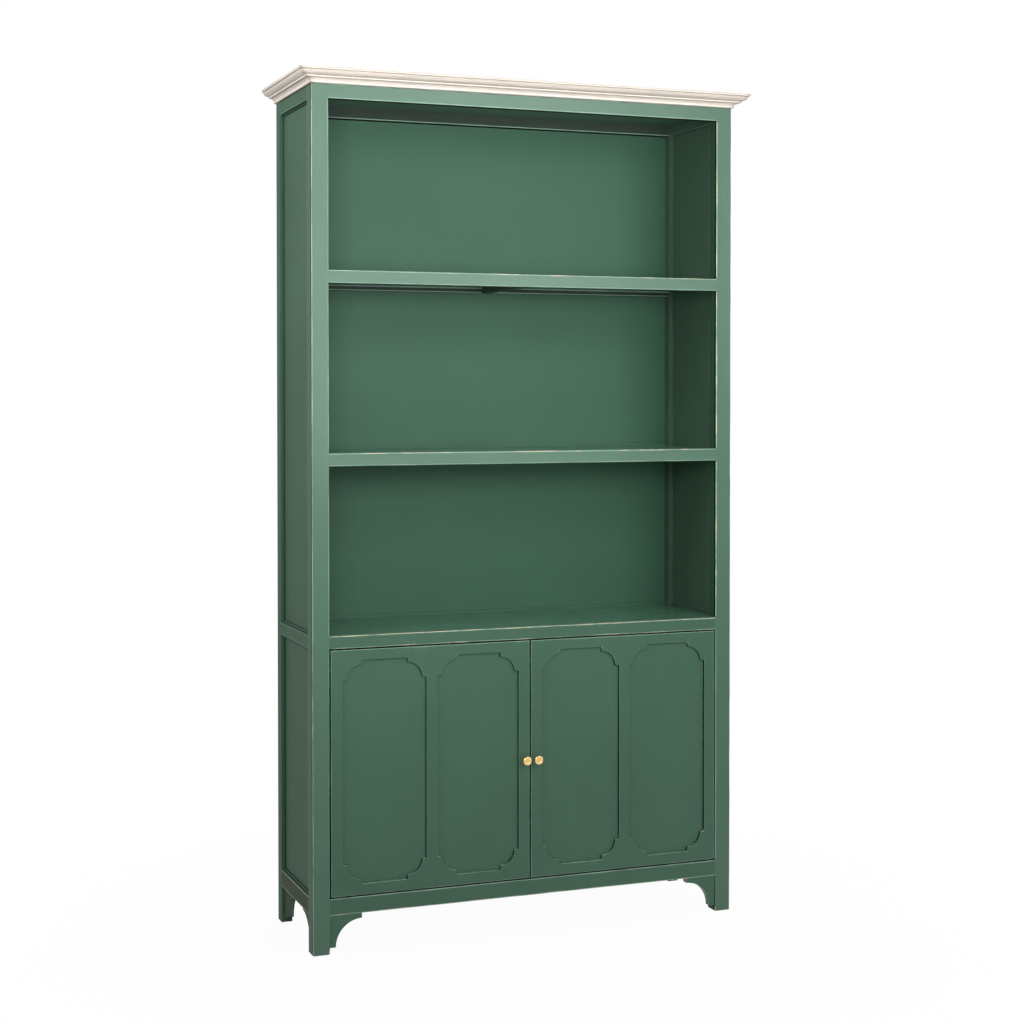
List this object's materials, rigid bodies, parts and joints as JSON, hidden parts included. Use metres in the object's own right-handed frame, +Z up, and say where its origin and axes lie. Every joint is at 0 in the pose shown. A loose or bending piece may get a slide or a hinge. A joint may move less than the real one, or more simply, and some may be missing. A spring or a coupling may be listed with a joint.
{
  "type": "bookcase",
  "caption": "Tall free-standing painted bookcase with open shelves above a cupboard, hinged doors with sunk shaped fields, corner brackets at its feet and a moulded crown.",
  "frame": {"origin": "floor level, below the centre of the whole bookcase's bounding box", "axes": "+Z up; +X to the right for someone facing the doors; +Y from the front towards the back"},
  "size_m": [1.236, 0.407, 2.2],
  "materials": {
    "sage_paint": "satin paint, rubbed through at the edges",
    "cream_paint": "matt paint with brown glaze in the mouldings",
    "brass": "polished, slightly dulled",
    "steel": "zinc plated",
    "catch_plastic": "moulded, brown"
  },
  "bodies": {
    "carcass": {"back_bottom_rail": "sage_paint", "back_crown": "cream_paint", "back_deck_rail": "sage_paint", "back_top_rail": "sage_paint", "cabinet_floor": "sage_paint", "cabinet_shelf": "sage_paint", "cabinet_shelf_cleats": "sage_paint", "ceiling_panel": "sage_paint", "centre_battens": "sage_paint", "deck_board": "sage_paint", "double_catch": "catch_plastic", "frame_pivot_plates": "steel", "frame_screws": "steel", "front_bottom_rail": "sage_paint", "front_crown": "cream_paint", "front_deck_rail": "sage_paint", "front_top_rail": "sage_paint", "left_back_post": "sage_paint", "left_bottom_rail": "sage_paint", "left_crown": "cream_paint", "left_front_bracket": "sage_paint", "left_front_post": "sage_paint", "left_lower_panel": "sage_paint", "left_middle_rail": "sage_paint", "left_side_brackets": "sage_paint", "left_top_rail": "sage_paint", "left_upper_panel": "sage_paint", "lower_back_panel": "sage_paint", "lower_shelf_back_rail": "sage_paint", "lower_shelf_board": "sage_paint", "lower_shelf_front_rail": "sage_paint", "right_back_post": "sage_paint", "right_bottom_rail": "sage_paint", "right_crown": "cream_paint", "right_front_bracket": "sage_paint", "right_front_post": "sage_paint", "right_lower_panel": "sage_paint", "right_middle_rail": "sage_paint", "right_side_brackets": "sage_paint", "right_top_rail": "sage_paint", "right_upper_panel": "sage_paint", "shelf_back_strips": "sage_paint", "side_panel_beads": "sage_paint", "top_panel": "cream_paint", "upper_back_panel": "sage_paint", "upper_shelf_back_rail": "sage_paint", "upper_shelf_board": "sage_paint", "upper_shelf_front_rail": "sage_paint"},
    "left_door": {"left_door_board": "sage_paint", "left_door_face": "sage_paint", "left_door_pivots": "steel", "left_door_screws": "steel", "left_knob": "brass", "left_strike_plate": "steel"},
    "right_door": {"right_door_board": "sage_paint", "right_door_face": "sage_paint", "right_door_pivots": "steel", "right_door_screws": "steel", "right_knob": "brass", "right_strike_plate": "steel"}
  },
  "joints": [
    {"name": "left_door_hinge", "type": "hinge", "parent": "carcass", "child": "left_door", "pos_m": [-0.514, -0.1545, 0.142], "axis": [0, 0, -1], "range_deg": [0, 110]},
    {"name": "right_door_hinge", "type": "hinge", "parent": "carcass", "child": "right_door", "pos_m": [0.514, -0.1545, 0.142], "axis": [0, 0, 1], "range_deg": [0, 110]}
  ]
}
